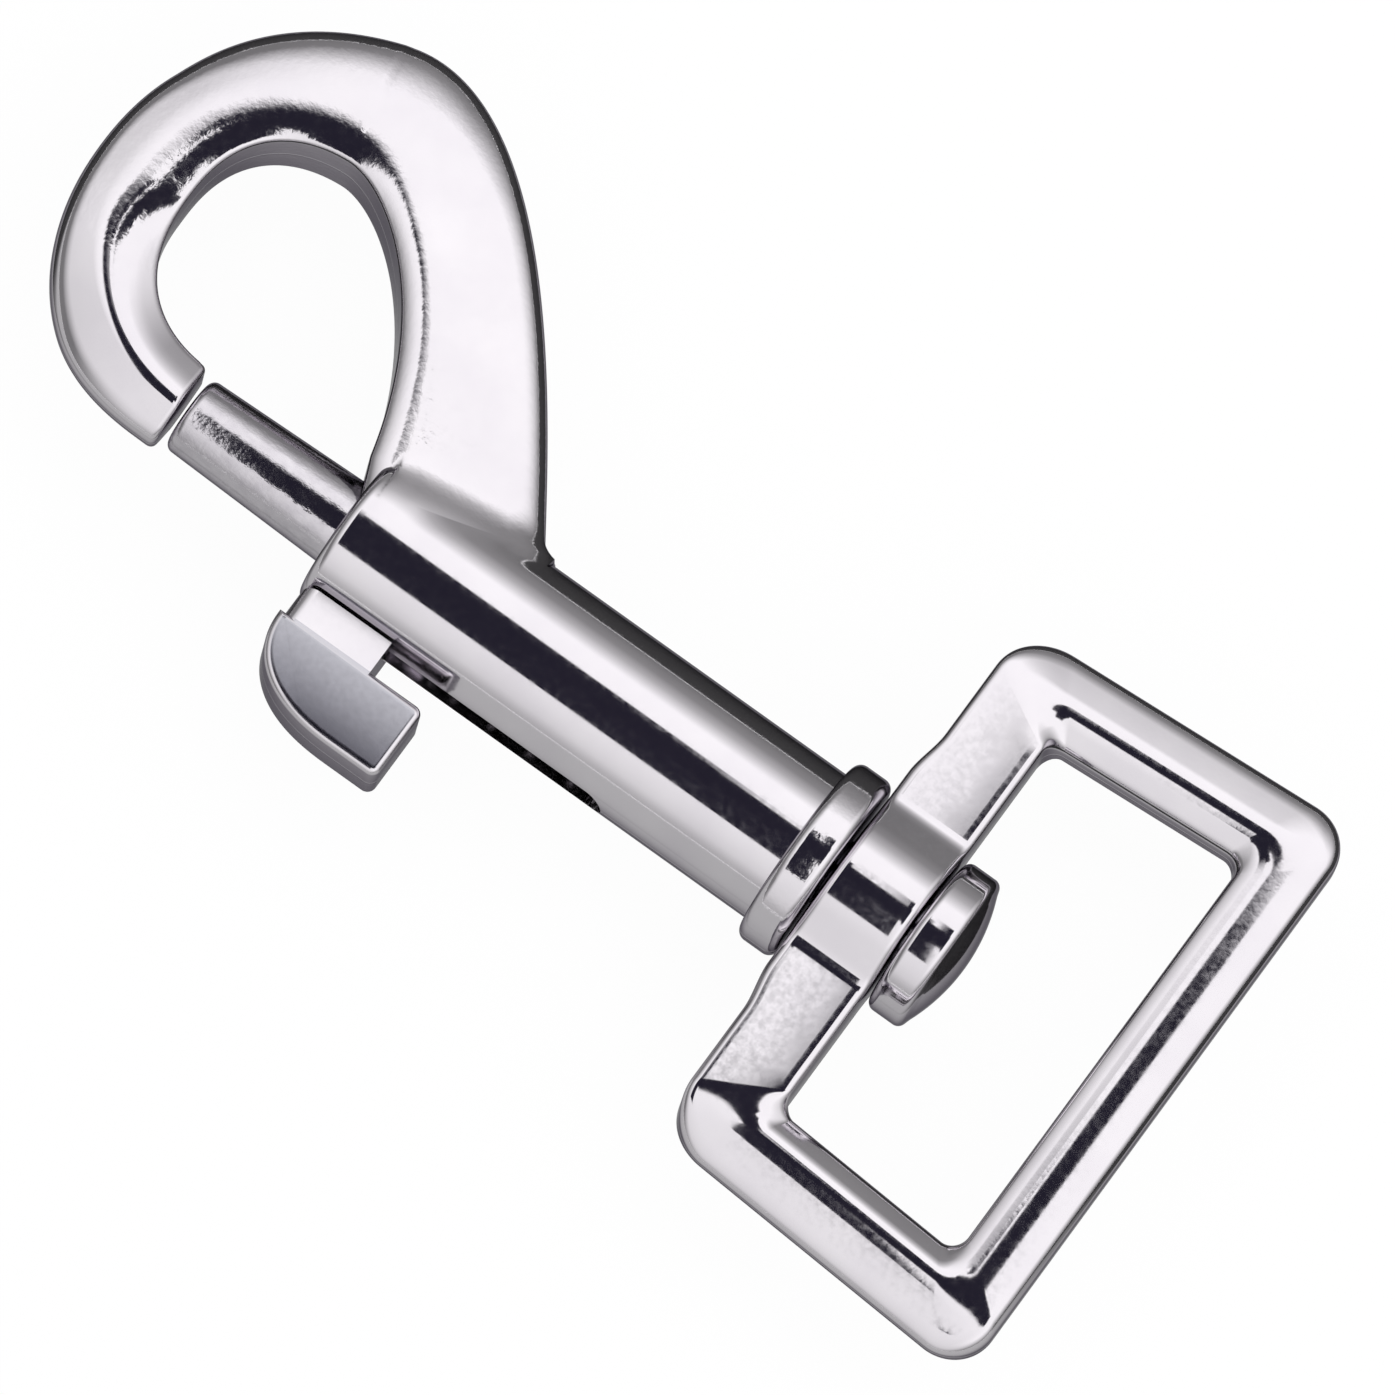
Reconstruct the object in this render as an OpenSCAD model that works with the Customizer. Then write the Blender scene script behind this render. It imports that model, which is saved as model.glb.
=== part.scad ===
// Bolt snap with a swivelling strap eye, lying on its side. Millimetres.
// The barrel's axis runs along X, the hook lies in the XY plane and +Z is up.

/* [Barrel] */
// Outside diameter of the barrel
barrel_d = 9.4; // [9:0.1:11]
// Length from the mouth to the collar
barrel_l = 29.7; // [29:0.1:38]
// Diameter of the bore behind the mouth
bore_d = 6.2; // [5.8:0.1:7]
// Thickness of the wall that the bolt comes out of
mouth_wall = 1.2; // [0.8:0.1:2]
// Rounding of the mouth's outer edge
mouth_r = 0.6; // [0.2:0.1:1]
// Width of the slot for the thumb tab
slot_w = 2.4; // [1.6:0.1:3]

/* [Bolt] */
// Diameter of the bolt where it leaves the mouth
bolt_d = 5; // [4.4:0.1:5.4]
// Diameter of the bolt at its tip
bolt_tip_d = 4.5; // [3.4:0.1:5]
// Bevel round the bolt's tip
bolt_bevel = 0.5; // [0.2:0.1:1]
// Length of the thick guide inside the bore
guide_l = 6.2; // [5.8:0.1:8]
// Diameter of the peg that centres the spring
peg_d = 3.8; // [3:0.1:4.2]
// Length of the peg that centres the spring
peg_l = 2; // [1:0.1:3]
// Way that the bolt slides back
bolt_travel = 14.2; // [11.5:0.1:14.4]

/* [Spring] */
// Outside diameter of the spring
spring_d = 5.7; // [5.4:0.1:5.7]
// Diameter of the spring's wire
wire_d = 0.45; // [0.3:0.05:0.5]
// Number of turns
turns = 9; // [6:1:9]

/* [Thumb tab] */
// Length of the tab along the barrel
tab_l = 9.5; // [7:0.1:11]
// Height of the tab away from the barrel
tab_h = 4.6; // [3.5:0.1:6]
// Thickness of the tab
tab_t = 4.6; // [3.6:0.1:5.4]
// Rounding of the tab's edges
tab_r = 0.4; // [0.2:0.1:0.7]
// Distance from the barrel to the tab
neck_h = 1.6; // [1.2:0.1:3]
// Length of the neck along the barrel
neck_l = 5.6; // [5:0.1:6.6]
// Thickness of the neck
neck_t = 4.4; // [3.4:0.1:5]
// Diameter of the stem that is pressed into the bolt
stem_d = 1.8; // [1.2:0.1:2.2]

/* [Hook] */
// Radius of the hook's opening
hole_r = 6.85; // [6:0.05:8]
// Height of the opening above its middle
hole_rise = 6.65; // [6:0.05:8]
// Squareness of the opening: 2 is a circle
hole_square = 2.4; // [2:0.1:2.6]
// Distance from the mouth to the middle of the opening
loop_back = 10.3; // [9.8:0.1:12]
// Gap between the bolt's tip and the hook's nose
nose_gap = 0.45; // [0.3:0.05:0.8]
// Distance that the nose reaches past the middle of the opening, away from the barrel
nose_short = 0.6; // [0.3:0.1:1.2]
// Width of the nose
nose_w = 5; // [4.4:0.1:6]
// Thickness of the nose
nose_t = 5.2; // [4.4:0.1:6]
// Distance that the nose's middle lies below the bolt's axis
nose_drop = 0.2; // [0:0.05:0.4]
// Width of the hook at its side
side_w = 5.7; // [5:0.1:7]
// Thickness of the hook at its side
side_t = 6.4; // [5.4:0.1:7.2]
// Width of the hook at its crown
crown_w = 7.75; // [6.5:0.05:9]
// Thickness of the hook at its crown and along the limb
crown_t = 7; // [6:0.1:7.8]
// Length of barrel that the limb stands on
root_l = 9.2; // [8:0.1:12]
// Slant of the limb's outer edge at its root, in degrees
root_slant = 56; // [50:1:62]
// Radius of the fillet behind the limb
root_r = 1.7; // [1:0.1:2.5]

/* [Collar] */
// Diameter of the collar
collar_d = 11.4; // [10.6:0.1:13]
// Thickness of the collar
collar_t = 2.4; // [1.8:0.1:3.2]
// Rounding of the collar's edges
collar_r = 0.6; // [0.2:0.1:0.8]
// Length of the collar's plug inside the bore
plug_l = 3.5; // [2.5:0.1:4]

/* [Rivet] */
// Diameter of the rivet's shank
shank_d = 4; // [3.6:0.1:4.4]
// Diameter of the rivet's head
head_d = 9.5; // [8:0.1:11]
// Thickness of the head's rim
head_t = 2.3; // [1.6:0.1:3]
// Height of the head's dome
dome_h = 0.9; // [0.5:0.1:1.4]
// Rounding of the head's edges
head_r = 0.5; // [0.2:0.1:0.7]

/* [Strap eye] */
// Width of the opening beside the barrel
strap_w = 25; // [20:0.1:32]
// Length of the opening along the barrel's axis
window_l = 12.1; // [10:0.1:18]
// Angle by which each side spreads away from the barrel
eye_flare = 3.7; // [0:0.1:8]
// Width of the bar that carries the rivet
near_bar_w = 5.2; // [4.4:0.1:6.5]
// Width of the two side bars
side_bar_w = 4.9; // [4:0.1:6]
// Width of the far bar
far_bar_w = 4.2; // [3.5:0.05:6]
// Thickness of the eye's bars
bar_t = 4.6; // [4:0.1:5.4]
// Diameter of the boss round the rivet
boss_d = 9.4; // [8.4:0.1:10.6]
// Distance that the boss stands proud of the near bar
boss_proud = 0.4; // [0.2:0.05:0.8]
// Radius of the two corners beside the barrel
near_corner_r = 3.2; // [2.4:0.1:4.5]
// Radius of the two far corners
far_corner_r = 2.6; // [2:0.1:4]
// Radius of the corners of the opening
inner_corner_r = 1; // [0.5:0.1:2]

/* [Fits] */
// Clearance round a piece that slides or turns in another
running_gap = 0.08; // [0.05:0.01:0.1]
// Clearance between faces that pass each other
face_gap = 0.15; // [0.1:0.05:0.2]
// Clearance round a pressed piece
press_gap = 0.01; // [0:0.01:0.02]

/* [Hidden] */
$fn = 96;

// Points round one cross-section of a cast bar
ring_points = 28;
// Small overlap that makes a cut or a union clean
eps = 0.02;
zinc = [0.82, 0.82, 0.85];
steel = [0.72, 0.72, 0.76];

// Places along the barrel's axis, with X = 0 where the collar meets the barrel
mouth_x = -barrel_l;
loop_x = mouth_x - loop_back;
nose_x = loop_x - nose_short;
tip_x = nose_x + nose_gap;
shoulder_x = mouth_x + mouth_wall;
guide_x = shoulder_x + guide_l;
plug_x = -plug_l;
near_x = collar_t + face_gap;
window_x = near_x + near_bar_w;
head_x = window_x + face_gap;
far_x = window_x + window_l;

// The thumb tab's places, worked out from the mouth
tongue_x = shoulder_x + face_gap;
neck_x = mouth_x + face_gap * 2;
neck_end_x = neck_x + neck_l;
tongue_end_x = neck_end_x - face_gap;
stem_x = (tongue_x + tongue_end_x) / 2;
tab_y = -barrel_d / 2 - neck_h;
slot_end_x = tongue_end_x + bolt_travel + face_gap;

// The hook's middle height, which sets the nose against the bolt
loop_y = hole_r + nose_w / 2 - nose_drop;

// Curves

function polar(r, a) = r * [cos(a), sin(a)];

function mix(a, b, t) = a + (b - a) * t;

// Goes from 0 to 1 with a level start and end
function ease(t) = let (u = min(max(t, 0), 1)) u * u * (3 - 2 * u);

function bezier(p, t) =
    pow(1 - t, 3) * p[0] + 3 * pow(1 - t, 2) * t * p[1] + 3 * (1 - t) * t * t * p[2] + pow(t, 3) * p[3];

function reversed(list) = [for (i = [len(list) - 1 : -1 : 0]) list[i]];

// A point's share of the way along one axis of a rounded square
function rounded(v, squareness) = sign(v) * pow(abs(v), 2 / squareness);

// Cast bars

// One cross-section of a cast bar, upright between two points of its outline. The crest is the share of
// the width at which it is thickest, and the land is the flat share of the edge at the inner point.
function bar_ring(inner, outer, thick, crest = 0.5, land = 0, squareness = 2.4) = [
    for (i = [0 : ring_points - 1])
        let (
            a = 360 * i / ring_points,
            across = rounded(cos(a), squareness),
            up = rounded(sin(a), squareness),
            share = cos(a) > 0 ? crest + (1 - crest) * across : crest * (1 + across),
            rise = cos(a) > 0 ? up : sign(up) * mix(land, 1, abs(up)) * (abs(up) > 0.001 ? 1 : 0),
            p = mix(inner, outer, share)
        )
        [p.x, p.y, rise * thick / 2]
];

// A solid through rings of points that all have the same number of points
module skin(rings, closed = false) {
    count = len(rings);
    n = len(rings[0]);
    points = [for (ring = rings) each ring];
    sides = [
        for (i = [0 : count - (closed ? 1 : 2)], j = [0 : n - 1])
            let (a = i * n + j, b = i * n + (j + 1) % n, c = (a + n) % (count * n), d = (b + n) % (count * n))
            each [[a, b, d], [a, d, c]]
    ];
    first = [for (j = [n - 1 : -1 : 0]) j];
    last = [for (j = [0 : n - 1]) (count - 1) * n + j];
    polyhedron(points, closed ? sides : concat(sides, [first, last]), convexity = 8);
}

// Hook and barrel

crest_share = 0.6;
inner_land = 0.5;
loop_steps = 20;
limb_steps = 14;
root_steps = 5;
side_start = 230;
side_end = 155;
// Angle at which the round of the hook ends and the limb begins
crown_angle = 100;

// Distance from the middle of the opening to its edge at an angle
function hole_at(a) =
    let (rise = a < 180 ? hole_rise : hole_r)
    1 / pow(pow(abs(cos(a)) / hole_r, hole_square) + pow(abs(sin(a)) / rise, hole_square), 1 / hole_square);

// Width of the hook at an angle round its opening
function loop_w(a) =
    a > side_start
        ? mix(side_w, nose_w, ease((a - side_start) / (270 - side_start)))
        : mix(side_w, crown_w, pow(max(side_end - a, 0) / (side_end - crown_angle), 1.4));

// Thickness of the hook at an angle round its opening
function loop_t(a) =
    a > 180 ? mix(side_t, nose_t, ease((a - 180) / 90)) : mix(side_t, crown_t, ease((180 - a) / (180 - crown_angle)));

function hook_ring(inner, outer, thick) = bar_ring(inner, outer, thick, crest_share, inner_land, 2.6);

// The nose's flat end, with its bevelled rim
nose_bevel = 0.4;
nose_foot = [nose_x, loop_y - hole_r];
function nose_ring(x, inset) = hook_ring(
    [x, nose_foot.y - inset],
    [x, nose_foot.y - nose_w + inset],
    nose_t - 2 * inset
);

// Angle at which the round of the hook begins, behind the nose's end
nose_angle = 270 - asin((nose_short + nose_bevel) / hole_r) - 2;

// Inner and outer edge of the round part at an angle
function loop_in(a) = [loop_x, loop_y] + polar(hole_at(a), a);
function loop_out(a) = [loop_x, loop_y] + polar(hole_at(a) + loop_w(a), a);

// A smooth curve that leaves one point along a unit vector and arrives at another at an angle. The two
// handles are shares of the distance between the points.
function sweep_curve(from, leave, to, arrive, handle_a, handle_b) =
    let (reach = norm(to - from))
    [from, from + handle_a * reach * leave, to - polar(handle_b * reach, arrive), to];

function heading(p, q) = (q - p) / norm(q - p);

// Inner and outer edge of the limb, from the crown down to the barrel
limb_lip = 1;
root_in = [mouth_x - limb_lip, barrel_d / 2 - 1.4];
root_out = [mouth_x + root_l, barrel_d / 2 + root_r * (1 - cos(root_slant))];
leave_in = heading(loop_in(crown_angle + 1), loop_in(crown_angle));
leave_out = heading(loop_out(crown_angle + 1), loop_out(crown_angle));
limb_in = sweep_curve(loop_in(crown_angle), leave_in, root_in, -76, 0.157, 0.552);
limb_out = sweep_curve(loop_out(crown_angle), leave_out, root_out, -root_slant, 0.312, 0.25);

// The fillet that carries the limb's outer edge into the barrel
fillet_mid = root_out + polar(root_r, 90 - root_slant);
function fillet_point(t) = fillet_mid + polar(root_r, mix(270 - root_slant, 262, t));

function root_ring(t) = hook_ring(
    root_in + t * [limb_lip, -2.4],
    fillet_point(t),
    mix(crown_t, barrel_d * 0.86, ease(t))
);

hook_rings = concat(
    [nose_ring(nose_x, nose_bevel), nose_ring(nose_x - nose_bevel, 0)],
    [
        for (i = [0 : loop_steps])
            let (a = mix(nose_angle, crown_angle, i / loop_steps))
            hook_ring(loop_in(a), loop_out(a), loop_t(a))
    ],
    [
        for (i = [1 : limb_steps])
            let (t = i / limb_steps)
            hook_ring(bezier(limb_in, t), bezier(limb_out, t), crown_t)
    ],
    [for (i = [1 : root_steps]) root_ring(i / root_steps)],
    [hook_ring([mouth_x + 1, 0.4], [root_out.x, 0.4], barrel_d * 0.7)]
);

// A turned piece along X, from its outline of [x, radius] points
module turned(outline) {
    rotate([0, 90, 0])
        rotate_extrude()
            polygon([for (p = outline) [p.y, p.x]]);
}

// A quarter round between two directions, for a turned piece's edge
function edge_arc(mid, r, from, to, steps = 6) = [
    for (i = [0 : steps]) mid + polar(r, mix(from, to, i / steps))
];

module slot_cut() {
    slot_l = slot_end_x - shoulder_x;
    translate([shoulder_x, -barrel_d, -slot_w / 2])
        cube([slot_l - slot_w / 2, barrel_d, slot_w]);
    translate([slot_end_x - slot_w / 2, 0, 0])
        rotate([90, 0, 0])
            cylinder(d = slot_w, h = barrel_d);
}

module hook_body() {
    r = barrel_d / 2;
    color(zinc)
    difference() {
        union() {
            skin(reversed(hook_rings));
            turned(concat(
                [[0, 0], [mouth_x, 0]],
                edge_arc([mouth_x + mouth_r, r - mouth_r], mouth_r, 180, 90),
                [[0, r]]
            ));
        }
        translate([shoulder_x, 0, 0])
            rotate([0, 90, 0])
                cylinder(d = bore_d, h = barrel_l);
        translate([mouth_x - barrel_d, 0, 0])
            rotate([0, 90, 0])
                cylinder(d = bolt_d + 2 * running_gap, h = barrel_d + mouth_wall + eps);
        slot_cut();
    }
}

// Bolt, thumb tab and spring

module bolt() {
    r = bolt_d / 2;
    tip_r = bolt_tip_d / 2;
    guide_r = bore_d / 2 - running_gap;
    color(steel)
    difference() {
        turned([
            [tip_x, 0],
            [tip_x, tip_r - bolt_bevel],
            [tip_x + bolt_bevel, tip_r],
            [mouth_x - face_gap, r],
            [shoulder_x + eps, r],
            [shoulder_x + eps, guide_r],
            [guide_x, guide_r],
            [guide_x, peg_d / 2],
            [guide_x + peg_l, peg_d / 2],
            [guide_x + peg_l, 0]
        ]);
        translate([stem_x, 0, 0])
            rotate([90, 0, 0])
                cylinder(d = stem_d + 2 * press_gap, h = barrel_d);
    }
}

// The tab's outline in the XY plane: a flat side towards the barrel and a full curve at the front
module tab_outline() {
    corner_r = 0.55;
    back = mouth_x + tab_l;
    bottom = tab_y - tab_h;
    sweep_l = tab_l * 0.7;
    polygon(concat(
        [
            for (a = [0 : 6 : 90])
                [mouth_x + sweep_l * (1 - rounded(cos(a), 2.4)), tab_y - tab_h * rounded(sin(a), 2.4)]
        ],
        edge_arc([back - corner_r, bottom + corner_r], corner_r, 270, 360),
        edge_arc([back - corner_r, tab_y - corner_r], corner_r, 0, 90)
    ));
}

// The tongue that runs in the slot, with its rear end rounded like the slot's
module tongue() {
    tongue_w = slot_w - 2 * face_gap;
    round_x = tongue_end_x - tongue_w / 2;
    translate([tongue_x, tab_y, -tongue_w / 2])
        cube([round_x - tongue_x, -tab_y, tongue_w]);
    translate([round_x, 0, 0])
        rotate([90, 0, 0])
            cylinder(d = tongue_w, h = -tab_y);
}

module thumb_tab() {
    wrap_r = barrel_d / 2 + face_gap;
    front_r = 0.9;
    color(zinc) {
        hull() {
            linear_extrude(tab_t - 2 * tab_r, center = true) tab_outline();
            linear_extrude(tab_t - 0.6 * tab_r, center = true) offset(delta = -0.3 * tab_r) tab_outline();
            linear_extrude(tab_t, center = true) offset(delta = -tab_r) tab_outline();
        }
        difference() {
            translate([0, tab_y - tab_r, 0])
                rotate([-90, 0, 0])
                    linear_extrude(-tab_y)
                        polygon(concat(
                            [[neck_end_x, -neck_t / 2], [neck_end_x, neck_t / 2]],
                            edge_arc([neck_x + front_r, neck_t / 2 - front_r], front_r, 90, 180),
                            edge_arc([neck_x + front_r, front_r - neck_t / 2], front_r, 180, 270)
                        ));
            translate([mouth_x - barrel_d, 0, 0])
                rotate([0, 90, 0])
                    cylinder(r = wrap_r, h = barrel_l);
        }
        difference() {
            tongue();
            translate([mouth_x, 0, 0])
                rotate([0, 90, 0])
                    cylinder(d = bore_d, h = barrel_l);
        }
        translate([stem_x, -face_gap, 0])
            rotate([90, 0, 0])
                cylinder(d = stem_d, h = barrel_d / 2);
    }
}

spring_len = plug_x - guide_x - 2 * eps;
coil_r = (spring_d - wire_d) / 2;
coil_steps = 14;
wire_sides = 8;

// How far the wire has climbed after a share of its length: the end turns lie close together
function climb(t) =
    let (closed = 1 / turns, free = spring_len - 3 * wire_d)
    t < closed
        ? wire_d * t / closed
        : t > 1 - closed
            ? spring_len - wire_d - wire_d * (1 - t) / closed
            : wire_d + free * (t - closed) / (1 - 2 * closed);

function wire_ring(t) =
    let (a = 360 * turns * t, x = guide_x + eps + wire_d / 2 + climb(t))
    [
        for (j = [0 : wire_sides - 1])
            let (b = 360 * j / wire_sides, r = coil_r + wire_d / 2 * cos(b))
            [x + wire_d / 2 * sin(b), r * cos(a), r * sin(a)]
    ];

module bolt_spring() {
    last = turns * coil_steps;
    color(steel)
        skin([for (i = [0 : last]) wire_ring(i / last)]);
}

// Swivel

flare_r = 0.3;

module end_collar() {
    r = collar_d / 2;
    plug_r = bore_d / 2 - press_gap;
    hole_r = shank_d / 2 + press_gap;
    color(zinc)
        turned(concat(
            [[plug_x, hole_r + flare_r], [plug_x, plug_r], [0, plug_r]],
            edge_arc([collar_r, r - collar_r], collar_r, 180, 90),
            edge_arc([collar_t - collar_r, r - collar_r], collar_r, 90, 0),
            [[collar_t, hole_r], [plug_x + 2 * flare_r, hole_r]]
        ));
}

module swivel_rivet() {
    r = head_d / 2;
    rim_x = head_x + head_t;
    crown_r = r - head_r;
    dome_r = (crown_r * crown_r + dome_h * dome_h) / (2 * dome_h);
    dome_a = asin(crown_r / dome_r);
    color(steel)
        turned(concat(
            [[plug_x, 0], [plug_x, shank_d / 2 + flare_r], [plug_x + 2 * flare_r, shank_d / 2], [head_x, shank_d / 2]],
            edge_arc([head_x + head_r, r - head_r], head_r, 180, 90),
            edge_arc([rim_x - head_r, r - head_r], head_r, 90, dome_a),
            [for (i = [1 : 8]) [rim_x + dome_h - dome_r * (1 - cos(dome_a * (1 - i / 8))), dome_r * sin(dome_a * (1 - i / 8))]]
        ));
}

// The eye's corners, each as its sharp point on the opening and on the outside
function spread(x) = (x - window_x) * tan(eye_flare);
function side_y(x) = strap_w / 2 + spread(x);
function outside_y(x) = side_y(x) + side_bar_w / cos(eye_flare);
outer_near_x = near_x + boss_proud;
outer_far_x = far_x + far_bar_w;

// Middle of an arc that rounds a corner between two outward directions
function corner_mid(p, r, a, b) = p - r * (polar(1, a) + polar(1, b)) / (1 + cos(a - b));

function corner_rings(inner, outer, outer_r, from, to, thick_a, thick_b, square_a, square_b) = [
    for (i = [0 : corner_steps])
        let (t = i / corner_steps, a = mix(from, to, t))
        bar_ring(
            corner_mid(inner, inner_corner_r, from, to) + polar(inner_corner_r, a),
            corner_mid(outer, outer_r, from, to) + polar(outer_r, a),
            mix(thick_a, thick_b, ease(t)),
            squareness = mix(square_a, square_b, ease(t))
        )
];

corner_steps = 6;
side_square = 2.3;
near_square = 4.5;
near_t = bar_t * 1.04;
boss_r = boss_d / 2;
// Half width of the round on top of the boss, then of the slope that runs out into the bar
crest_y = boss_r * 0.6;
crest_z = sqrt(boss_r * boss_r - crest_y * crest_y);
slope_y = crest_y + 2 * (crest_z - near_t / 2) * crest_z / crest_y;

// Height of the near bar above the axis at a distance along it
function near_h(y) =
    let (d = abs(y))
    d < crest_y
        ? sqrt(boss_r * boss_r - d * d)
        : near_t / 2 + (crest_z - near_t / 2) * pow(max(slope_y - d, 0) / (slope_y - crest_y), 2);

function near_ring(y) = bar_ring(
    [window_x, y],
    [outer_near_x - boss_proud * ease((boss_d - abs(y)) / (boss_d - slope_y)), y],
    2 * near_h(y),
    squareness = near_square
);

near_steps = 22;
near_reach = strap_w / 2 - inner_corner_r - 0.6;

// One far corner and one near corner on the +Y side, in the order in which the loop runs
far_rings = corner_rings(
    [far_x, side_y(far_x)], [outer_far_x, outside_y(outer_far_x)], far_corner_r,
    0, 90 + eye_flare, bar_t, bar_t, side_square, side_square
);
near_rings = corner_rings(
    [window_x, side_y(window_x)], [outer_near_x, outside_y(outer_near_x)], near_corner_r,
    90 + eye_flare, 180, bar_t, near_t, side_square, near_square
);

// The same rings on the -Y side, with their points in the same sense round the bar
function mirrored(rings) = [for (ring = reversed(rings)) [for (p = ring) [p.x, -p.y, p.z]]];

module swivel_eye() {
    color(zinc)
    difference() {
        skin(concat(
            far_rings,
            near_rings,
            [for (i = [0 : near_steps]) near_ring(mix(near_reach, -near_reach, i / near_steps))],
            mirrored(near_rings),
            mirrored(far_rings)
        ), closed = true);
        translate([near_x - boss_proud - 1, 0, 0])
            rotate([0, 90, 0])
                cylinder(d = shank_d + 2 * running_gap, h = near_bar_w + 2);
    }
}

// Places the model on the table, with the middle of its outline over the origin
far_top_y = corner_mid([outer_far_x, outside_y(outer_far_x)], far_corner_r, 0, 90 + eye_flare).y + far_corner_r;
left_x = loop_x - hole_r - side_w;
crown_y = max([for (t = [0 : 0.02 : 1]) bezier(limb_out, t).y]);
top_y = max(crown_y, far_top_y);
bottom_y = min(-far_top_y, tab_y - tab_h);

module on_table() {
    translate([-(left_x + outer_far_x) / 2, -(top_y + bottom_y) / 2, collar_d / 2])
        children();
}

on_table() hook_body();
on_table() bolt();
on_table() thumb_tab();
on_table() bolt_spring();
on_table() end_collar();
on_table() swivel_rivet();
on_table() swivel_eye();
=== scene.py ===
"""Swivel snap hook, dressed: bright nickel over die-cast zinc, round its CAD frame.

Sizes are in millimetres, with X = 0 at the barrel's rear end and the barrel's axis along X, as the
maker's drawing has them. stand_on_table() moves a finished mesh to its place and to metres.
"""

import math

import bmesh
import bpy
import numpy as np
from mathutils import Matrix, Vector
from mathutils.kdtree import KDTree


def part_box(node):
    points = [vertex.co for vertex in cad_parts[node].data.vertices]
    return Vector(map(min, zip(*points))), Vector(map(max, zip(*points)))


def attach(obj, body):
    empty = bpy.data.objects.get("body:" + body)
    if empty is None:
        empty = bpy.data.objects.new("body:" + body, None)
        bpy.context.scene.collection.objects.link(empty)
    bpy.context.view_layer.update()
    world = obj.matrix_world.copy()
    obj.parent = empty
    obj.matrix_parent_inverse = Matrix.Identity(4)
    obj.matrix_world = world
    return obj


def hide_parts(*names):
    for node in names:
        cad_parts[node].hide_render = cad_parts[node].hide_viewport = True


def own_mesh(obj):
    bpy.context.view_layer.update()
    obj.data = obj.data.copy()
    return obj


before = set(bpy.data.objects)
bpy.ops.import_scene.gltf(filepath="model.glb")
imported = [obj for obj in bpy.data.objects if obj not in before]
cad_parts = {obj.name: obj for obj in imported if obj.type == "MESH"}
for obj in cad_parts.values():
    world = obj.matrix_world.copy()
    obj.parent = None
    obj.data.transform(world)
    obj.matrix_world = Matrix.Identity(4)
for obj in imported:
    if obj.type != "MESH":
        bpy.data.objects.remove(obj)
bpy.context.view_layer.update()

# Hook and barrel
# One zinc alloy die casting: the barrel, with the hook that sweeps up from its side and round to the
# nose. It is cast in two die halves that meet at the hook's middle height, tumbled smooth and plated.

barrel_d = 9.4
barrel_l = 29.7
bore_d = 6.2
mouth_wall = 1.2
mouth_r = 0.6
slot_w = 2.4
bolt_d = 5.0
running_gap = 0.08
face_gap = 0.15
mouth_x = -barrel_l
shoulder_x = mouth_x + mouth_wall

hole_r = 6.85
hole_rise = 6.65
hole_square = 2.4
nose_short = 0.6
nose_w = 5.0
nose_t = 5.2
nose_bevel = 0.4
side_w = 5.7
side_t = 6.4
crown_w = 7.735
crown_t = 7.0
crown_angle = 100
root_l = 9.2
root_slant = 56
root_r = 1.7
loop_back = 10.3
nose_drop = 0.2
loop_mid = np.array([mouth_x - loop_back, hole_r + nose_w / 2 - nose_drop])

# Where the drawing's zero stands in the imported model, going by the collar
collar_t = 2.4
collar_low, collar_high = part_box("end_collar")
table_shift = Vector(
    (
        collar_high[0] * 1000 - collar_t,
        (collar_low[1] + collar_high[1]) * 500,
        (collar_low[2] + collar_high[2]) * 500,
    )
)


def polar(r, degrees):
    return r * np.array([math.cos(math.radians(degrees)), math.sin(math.radians(degrees))])


def mix(a, b, t):
    return a + (b - a) * t


def ease(t):
    u = min(max(t, 0), 1)
    return u * u * (3 - 2 * u)


def bend(a, b, c, steps):
    """A rounded corner from a to c, drawn towards the sharp point b."""
    return [(1 - t) ** 2 * a + 2 * t * (1 - t) * b + t * t * c for t in np.linspace(0, 1, steps)]


def bar_ring(inner, outer, thick, ridge, land, shoulder, cuts):
    """One cross-section of a cast bar, upright between two points of its outline. It rises from the
    land at the inner edge to a ridge (mm from that edge) and falls to the shoulder at the outer edge.
    Land and shoulder are shares of the half thickness; cuts are how far each corner is rounded, as
    shares of the lengths beside it."""
    inner, outer, half = np.array(inner), np.array(outer), thick / 2
    width = np.linalg.norm(outer - inner)
    corners = np.array([(0, 0), (0, land * half), (ridge, half), (width, shoulder * half), (width, 0)])
    points_a_corner = (9, 21, 17)
    upper = [corners[0]]
    for i, (before, after) in enumerate(cuts, start=1):
        sharp = corners[i]
        start, end = mix(sharp, corners[i - 1], before), mix(sharp, corners[i + 1], after)
        upper += bend(start, sharp, end, points_a_corner[i - 1])
    upper.append(corners[4])
    profile = upper + [np.array((x, -z)) for x, z in reversed(upper[1:-1])]
    return [tuple(mix(inner, outer, x / width)) + (z,) for x, z in profile]


def mesh_piece(name, points, faces):
    mesh = bpy.data.meshes.new(name)
    mesh.from_pydata([tuple(p) for p in points], [], faces)
    piece = bpy.data.objects.new(name, mesh)
    bpy.context.scene.collection.objects.link(piece)
    return piece


def close_up(piece):
    """Merges doubles and turns the faces outwards."""
    shape = bmesh.new()
    shape.from_mesh(piece.data)
    bmesh.ops.remove_doubles(shape, verts=shape.verts, dist=0.0005)
    bmesh.ops.recalc_face_normals(shape, faces=shape.faces)
    shape.to_mesh(piece.data)
    shape.free()
    return piece


def skin(name, rings, closed=False):
    count, n = len(rings), len(rings[0])
    faces = [
        (i * n + j, i * n + (j + 1) % n, ((i + 1) % count) * n + (j + 1) % n, ((i + 1) % count) * n + j)
        for i in range(count if closed else count - 1)
        for j in range(n)
    ]
    if not closed:
        faces += [tuple(range(n - 1, -1, -1)), tuple(range((count - 1) * n, count * n))]
    return close_up(mesh_piece(name, [p for ring in rings for p in ring], faces))


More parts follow.
